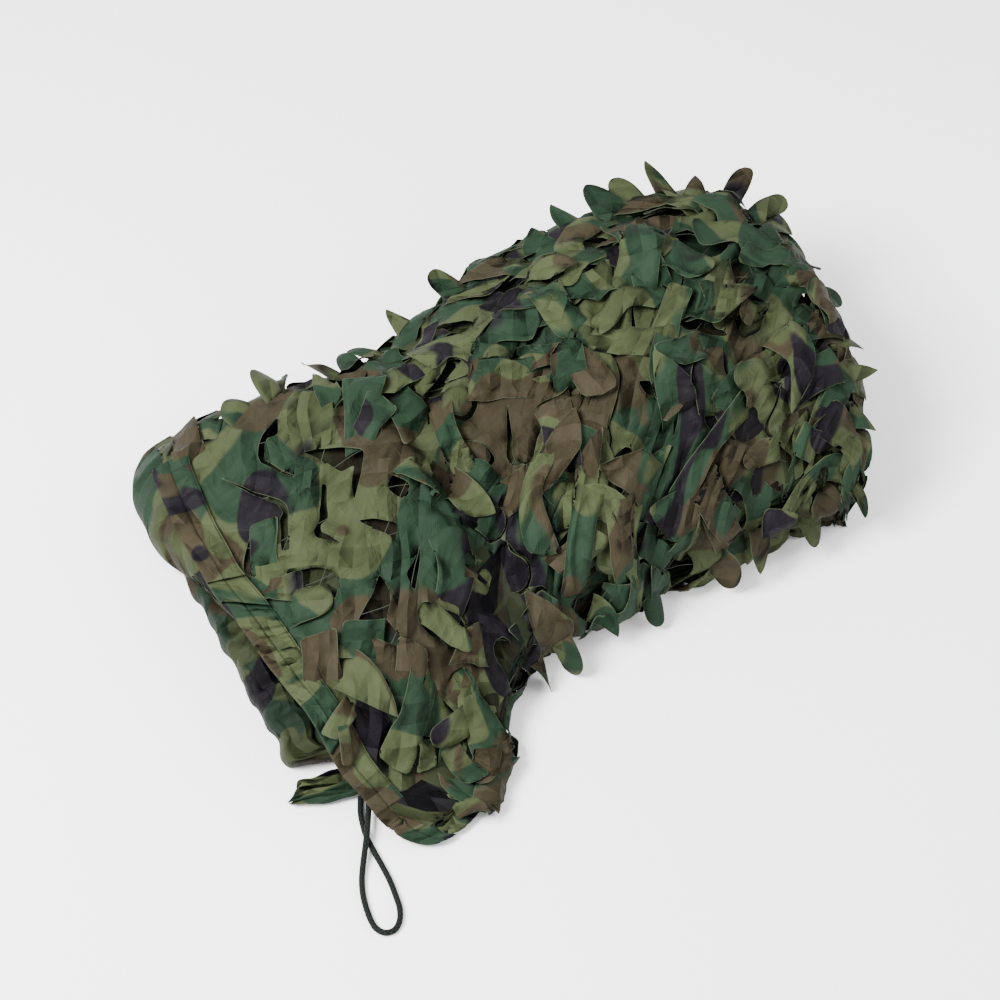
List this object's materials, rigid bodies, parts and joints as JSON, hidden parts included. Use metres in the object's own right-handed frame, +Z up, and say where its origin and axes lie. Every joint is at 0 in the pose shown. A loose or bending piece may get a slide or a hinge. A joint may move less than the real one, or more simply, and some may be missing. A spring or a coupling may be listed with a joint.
{
  "type": "camouflage net",
  "caption": "Woodland camouflage net of leaf-cut cloth, folded back and forth into a long bundle, with sewn border tape on its hems and a rope loop at a corner.",
  "frame": {"origin": "under the middle of the folded net, on the surface it lies on", "axes": "+X along the bundle from its hemmed end to its bulky end, -Y towards the side where the top ply slumps to the surface, +Z up"},
  "size_m": [0.6957, 0.5098, 0.163],
  "materials": {
    "camouflage_cloth": "printed polyester, slight sheen",
    "border_tape": "folded printed polyester, stitched",
    "rope": "braided cord, matte"
  },
  "bodies": {
    "root": {"net_folded": "camouflage_cloth", "net_corner": "camouflage_cloth", "border_tape_top": "border_tape", "border_tape_low": "border_tape", "rope_loop": "rope"}
  },
  "joints": []
}
